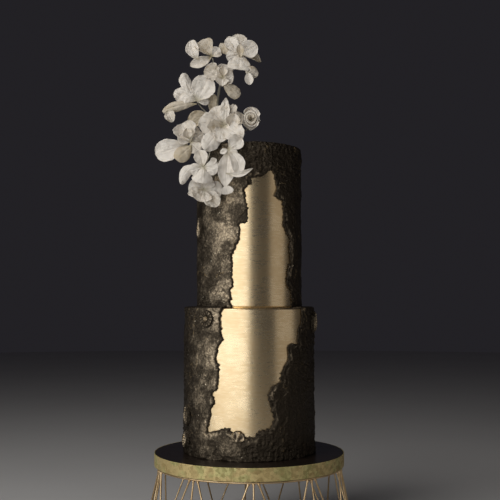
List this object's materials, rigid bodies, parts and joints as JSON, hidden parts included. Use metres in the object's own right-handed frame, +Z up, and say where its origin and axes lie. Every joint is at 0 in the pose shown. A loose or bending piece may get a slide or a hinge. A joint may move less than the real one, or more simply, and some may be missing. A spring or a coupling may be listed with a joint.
{
  "type": "tiered wedding cake",
  "caption": "Tall round tiered wedding cake in lustre gold under torn dark bark-like icing, with a spray of white sugar flowers, on an iced board and an open wire stand.",
  "frame": {"origin": "centre of the stand's foot ring, on the surface it stands on", "axes": "+Z up; -Y is the front, where the gold panels show; +X is the viewer's right"},
  "size_m": [0.34, 0.34, 0.8073],
  "materials": {
    "gold_icing": "smooth satin gold lustre on sugar paste",
    "bark_icing": "black sugar paste torn like bark, dusted with bronze and gold",
    "black_icing": "polished black sugar paste",
    "gold_leaf": "mottled gold leaf on a ribbon of sugar paste",
    "brass_wire": "satin brass wire",
    "sugar": "thin white sugar petals, matte",
    "stem_tape": "pale floral tape on wire"
  },
  "bodies": {
    "root": {"bark_lower": "bark_icing", "bark_upper": "bark_icing", "board": "black_icing", "board_band": "gold_leaf", "daisy": "bark_icing", "fan": "bark_icing", "flower_arch": "sugar", "flower_back": "sugar", "flower_bud": "sugar", "flower_crown_left": "sugar", "flower_crown_right": "sugar", "flower_drop": "sugar", "flower_fan": "sugar", "flower_heart": "sugar", "flower_hem": "sugar", "flower_left": "sugar", "flower_small": "sugar", "shell_foot_high": "bark_icing", "shell_foot_low": "bark_icing", "shell_shoulder": "bark_icing", "shell_upper_left": "bark_icing", "stand_brace_left_01": "brass_wire", "stand_brace_left_02": "brass_wire", "stand_brace_left_03": "brass_wire", "stand_brace_left_04": "brass_wire", "stand_brace_left_05": "brass_wire", "stand_brace_left_06": "brass_wire", "stand_brace_left_07": "brass_wire", "stand_brace_left_08": "brass_wire", "stand_brace_left_09": "brass_wire", "stand_brace_left_10": "brass_wire", "stand_brace_right_01": "brass_wire", "stand_brace_right_02": "brass_wire", "stand_brace_right_03": "brass_wire", "stand_brace_right_04": "brass_wire", "stand_brace_right_05": "brass_wire", "stand_brace_right_06": "brass_wire", "stand_brace_right_07": "brass_wire", "stand_brace_right_08": "brass_wire", "stand_brace_right_09": "brass_wire", "stand_brace_right_10": "brass_wire", "stand_foot_ring": "brass_wire", "stand_top_ring": "brass_wire", "stand_upright_01": "brass_wire", "stand_upright_02": "brass_wire", "stand_upright_03": "brass_wire", "stand_upright_04": "brass_wire", "stand_upright_05": "brass_wire", "stand_upright_06": "brass_wire", "stand_upright_07": "brass_wire", "stand_upright_08": "brass_wire", "stand_upright_09": "brass_wire", "stand_upright_10": "brass_wire", "stems": "stem_tape", "tier_lower": "gold_icing", "tier_upper": "gold_icing"}
  },
  "joints": []
}
